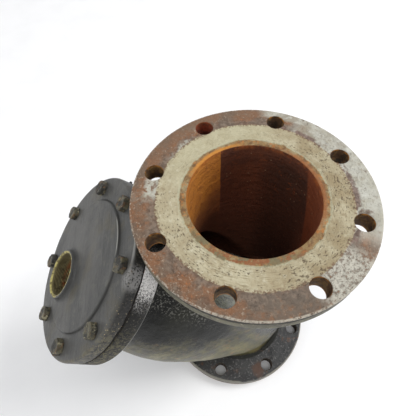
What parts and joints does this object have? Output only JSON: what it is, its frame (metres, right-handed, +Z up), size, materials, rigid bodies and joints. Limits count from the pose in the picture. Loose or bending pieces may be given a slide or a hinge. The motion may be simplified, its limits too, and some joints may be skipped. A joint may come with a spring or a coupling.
{
  "type": "flanged y strainer",
  "caption": "Cast iron flanged Y-pattern pipe strainer with a bolted 45 degree branch cover, an open blow-off hole and a removable perforated screen inside.",
  "frame": {"origin": "middle of the bounding box at the ground, which is the face of the inlet flange; the run's axis stands at x = +0.0910 m", "axes": "+Z up along the run from inlet to outlet; the branch leans towards -X; the part is symmetric across the XZ plane except for the turn of the screw heads and the gasket's tongue"},
  "size_m": [0.4614, 0.2794, 0.47],
  "materials": {
    "cast_iron_body": "old black paint, semi-gloss and chipped; flange faces bare and rusted, bores rust brown",
    "cast_iron_cover": "matte dark grey brushed paint with rust specks at the rim",
    "gasket": "dark fibre sheet, matte",
    "screen_steel": "perforated stainless sheet, stained",
    "screw_steel": "steel with brown rust and leftover grey paint"
  },
  "bodies": {
    "casing": {"strainer_body": "cast_iron_body", "cover_gasket": "gasket"},
    "cover": {"cover": "cast_iron_cover"},
    "basket": {"screen_sheet": "screen_steel", "screen_seat_band": "screen_steel", "screen_cover_band": "screen_steel"},
    "bolt_1": {"cover_bolt_1": "screw_steel"},
    "bolt_2": {"cover_bolt_2": "screw_steel"},
    "bolt_3": {"cover_bolt_3": "screw_steel"},
    "bolt_4": {"cover_bolt_4": "screw_steel"},
    "bolt_5": {"cover_bolt_5": "screw_steel"},
    "bolt_6": {"cover_bolt_6": "screw_steel"},
    "bolt_7": {"cover_bolt_7": "screw_steel"},
    "bolt_8": {"cover_bolt_8": "screw_steel"}
  },
  "joints": [
    {"name": "cover_withdraw", "type": "slide", "parent": "casing", "child": "cover", "axis": [-0.7071, 0, 0.7071], "range_m": [0, 0.4]},
    {"name": "basket_withdraw", "type": "slide", "parent": "casing", "child": "basket", "axis": [-0.7071, 0, 0.7071], "range_m": [0, 0.32]},
    {"name": "bolt_1_withdraw", "type": "slide", "parent": "cover", "child": "bolt_1", "axis": [-0.7071, 0, 0.7071], "range_m": [0, 0.06]},
    {"name": "bolt_2_withdraw", "type": "slide", "parent": "cover", "child": "bolt_2", "axis": [-0.7071, 0, 0.7071], "range_m": [0, 0.06]},
    {"name": "bolt_3_withdraw", "type": "slide", "parent": "cover", "child": "bolt_3", "axis": [-0.7071, 0, 0.7071], "range_m": [0, 0.06]},
    {"name": "bolt_4_withdraw", "type": "slide", "parent": "cover", "child": "bolt_4", "axis": [-0.7071, 0, 0.7071], "range_m": [0, 0.06]},
    {"name": "bolt_5_withdraw", "type": "slide", "parent": "cover", "child": "bolt_5", "axis": [-0.7071, 0, 0.7071], "range_m": [0, 0.06]},
    {"name": "bolt_6_withdraw", "type": "slide", "parent": "cover", "child": "bolt_6", "axis": [-0.7071, 0, 0.7071], "range_m": [0, 0.06]},
    {"name": "bolt_7_withdraw", "type": "slide", "parent": "cover", "child": "bolt_7", "axis": [-0.7071, 0, 0.7071], "range_m": [0, 0.06]},
    {"name": "bolt_8_withdraw", "type": "slide", "parent": "cover", "child": "bolt_8", "axis": [-0.7071, 0, 0.7071], "range_m": [0, 0.06]}
  ],
  "couplings": [
    {"joint": "basket_withdraw", "follows": "cover_withdraw", "ratio": 0.8}
  ]
}
